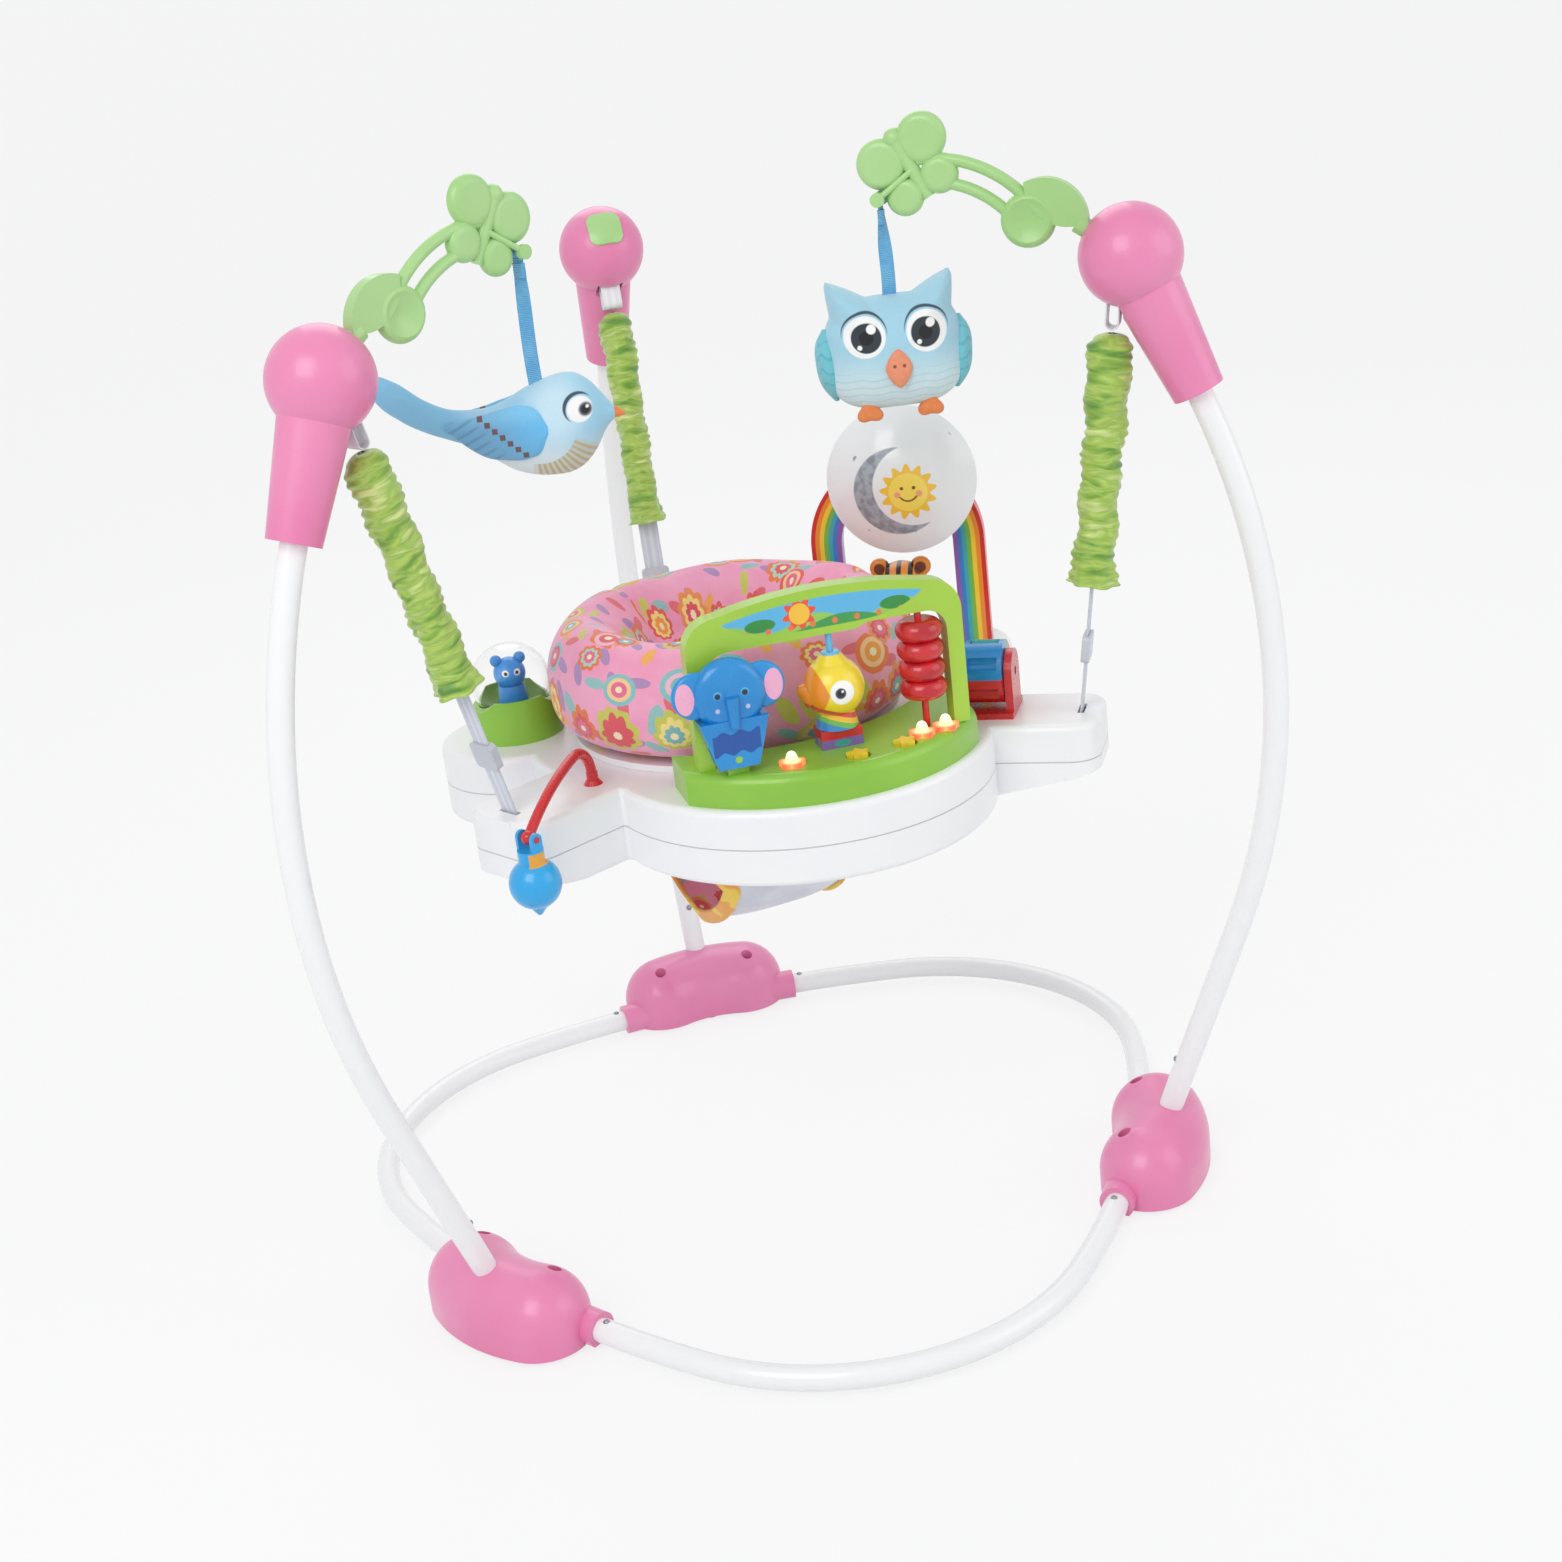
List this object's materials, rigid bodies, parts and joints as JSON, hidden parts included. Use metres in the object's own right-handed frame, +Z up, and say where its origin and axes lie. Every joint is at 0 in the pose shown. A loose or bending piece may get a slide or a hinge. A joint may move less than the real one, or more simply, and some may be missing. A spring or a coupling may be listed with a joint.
{
  "type": "baby jumper",
  "caption": "Free-standing baby jumper: bowed tube legs on a ring base carry a play tray with a padded swivel seat hung on springs, with hanging and spinning toys.",
  "frame": {"origin": "centre of the footprint's bounding box, on the floor", "axes": "+Z up, console side towards -Y, +X to the viewer's right from the console side"},
  "size_m": [0.862, 0.9205, 0.9797],
  "materials": {
    "white_tube": "white powder-coated steel tube",
    "pink_plastic": "smooth pink moulding",
    "foot_rubber": "dark non-slip pads",
    "zinc_steel": "zinc-plated steel",
    "leaf_plastic": "soft light-green moulding",
    "webbing": "pale lavender-grey webbing",
    "green_cloth": "gathered green printed cotton",
    "grey_plastic": "grey moulded buckle",
    "white_plastic": "white moulding",
    "cell_can": "battery can",
    "lime_plastic": "lime-green moulding",
    "light_lens": "translucent warm lens",
    "red_plastic": "red moulding",
    "orange_plastic": "orange moulding with colour bands",
    "blue_plastic": "blue moulding",
    "yellow_plastic": "yellow moulding",
    "pearl_plastic": "pearly white moulding",
    "clear_plastic": "clear moulded ball",
    "pink_cloth": "pink printed padding",
    "sky_cloth": "pale blue printed plush",
    "blue_cloth": "blue printed plush and ribbon",
    "teal_cloth": "teal plush"
  },
  "bodies": {
    "frame": {"base_tube_front": "white_tube", "base_tube_right": "white_tube", "base_tube_left": "white_tube", "hub_left": "pink_plastic", "hub_right": "pink_plastic", "hub_rear": "pink_plastic", "hub_feet": "foot_rubber", "frame_screws": "zinc_steel", "leg_left": "white_tube", "leg_right": "white_tube", "leg_rear": "white_tube", "left_housing_front_half": "pink_plastic", "left_housing_rear_half": "pink_plastic", "right_housing_front_half": "pink_plastic", "right_housing_rear_half": "pink_plastic", "rear_housing_left_half": "pink_plastic", "rear_housing_right_half": "pink_plastic", "snap_buttons": "zinc_steel", "hanger_pins": "zinc_steel", "rear_socket_cap": "leaf_plastic", "toy_bar_left": "leaf_plastic", "toy_bar_right": "leaf_plastic", "webbing_loops": "webbing", "springs": "zinc_steel", "sleeves": "green_cloth"},
    "tray": {"straps": "webbing", "strap_adjusters": "grey_plastic", "tray_upper": "white_plastic", "tray_lower": "white_plastic", "tray_screws": "zinc_steel", "battery_door": "white_plastic", "batteries": "cell_can", "console_base": "lime_plastic", "console_arch": "lime_plastic", "light_flowers": "light_lens", "perch_block": "red_plastic", "dome_cradle": "lime_plastic", "rainbow_arch": "orange_plastic", "roller_cradle": "red_plastic", "dangle_stem": "red_plastic"},
    "seat": {"seat_ring": "white_plastic", "bolster": "pink_cloth", "sling": "pink_cloth"},
    "elephant_toy": {"elephant": "blue_plastic"},
    "parrot_toy": {"parrot": "yellow_plastic"},
    "bead_toy": {"bead_column": "red_plastic"},
    "roller_toy": {"roller_drum": "blue_plastic"},
    "tiger_toy": {"tiger": "orange_plastic"},
    "globe_toy": {"globe_disc": "pearl_plastic"},
    "dome_toy": {"dome_ball": "clear_plastic", "dome_critter": "blue_plastic"},
    "dangling_toy": {"dangle_toy": "blue_plastic"},
    "star_left": {"star_button_left": "yellow_plastic"},
    "star_right": {"star_button_right": "yellow_plastic"},
    "bird_toy": {"bird_body": "sky_cloth", "bird_wings": "blue_cloth", "bird_ribbon": "blue_cloth"},
    "owl_toy": {"owl_body": "sky_cloth", "owl_wings": "teal_cloth", "owl_ribbon": "blue_cloth"}
  },
  "joints": [
    {"name": "bounce", "type": "slide", "parent": "frame", "child": "tray", "axis": [0, 0, 1], "range_m": [-0.08, 0.02], "stiffness_N_per_m": 900, "springref_m": 0.0429, "deforming": ["springs", "sleeves"]},
    {"name": "seat_swivel", "type": "hinge", "parent": "tray", "child": "seat", "pos_m": [0, -0.03583, 0.46], "axis": [0, 0, 1], "continuous": true},
    {"name": "elephant_rock", "type": "hinge", "parent": "tray", "child": "elephant_toy", "pos_m": [-0.054, -0.25982, 0.502], "axis": [0, 1, 0], "range_deg": [-12, 12], "stiffness_Nm_per_rad": 0.6},
    {"name": "parrot_spin", "type": "hinge", "parent": "tray", "child": "parrot_toy", "pos_m": [0.04, -0.23883, 0.538], "axis": [0, 0, 1], "continuous": true},
    {"name": "bead_spin", "type": "hinge", "parent": "tray", "child": "bead_toy", "pos_m": [0.118, -0.23883, 0.538], "axis": [0, 0, 1], "continuous": true},
    {"name": "roller_spin", "type": "hinge", "parent": "tray", "child": "roller_toy", "pos_m": [0.20438, -0.15382, 0.497], "axis": [0.866, -0.5, 0], "continuous": true},
    {"name": "tiger_rock", "type": "hinge", "parent": "tray", "child": "tiger_toy", "pos_m": [0.2012, 0.06983, 0.476], "axis": [0.9063, -0.4226, 0], "range_deg": [-10, 10], "stiffness_Nm_per_rad": 0.8},
    {"name": "globe_spin", "type": "hinge", "parent": "tray", "child": "globe_toy", "pos_m": [0.21389, 0.06391, 0.637], "axis": [0.4226, 0.9063, 0], "continuous": true},
    {"name": "dome_spin", "type": "hinge", "parent": "tray", "child": "dome_toy", "pos_m": [-0.19418, 0.03872, 0.509], "axis": [0, 0, 1], "continuous": true},
    {"name": "dangle_swing", "type": "hinge", "parent": "tray", "child": "dangling_toy", "pos_m": [-0.23231, -0.25173, 0.46387], "axis": [0.5, -0.866, 0], "range_deg": [-20, 20]},
    {"name": "star_left_press", "type": "slide", "parent": "tray", "child": "star_left", "axis": [0, 0, 1], "range_m": [-0.0025, 0], "stiffness_N_per_m": 300, "springref_m": 0.004},
    {"name": "star_right_press", "type": "slide", "parent": "tray", "child": "star_right", "axis": [0, 0, 1], "range_m": [-0.0025, 0], "stiffness_N_per_m": 300, "springref_m": 0.004},
    {"name": "bird_swing", "type": "hinge", "parent": "frame", "child": "bird_toy", "pos_m": [-0.1538, -0.12462, 0.91244], "axis": [0.5, -0.866, 0], "range_deg": [-20, 20]},
    {"name": "owl_swing", "type": "hinge", "parent": "frame", "child": "owl_toy", "pos_m": [0.1538, -0.12462, 0.91244], "axis": [0.5, 0.866, 0], "range_deg": [-20, 20]}
  ]
}
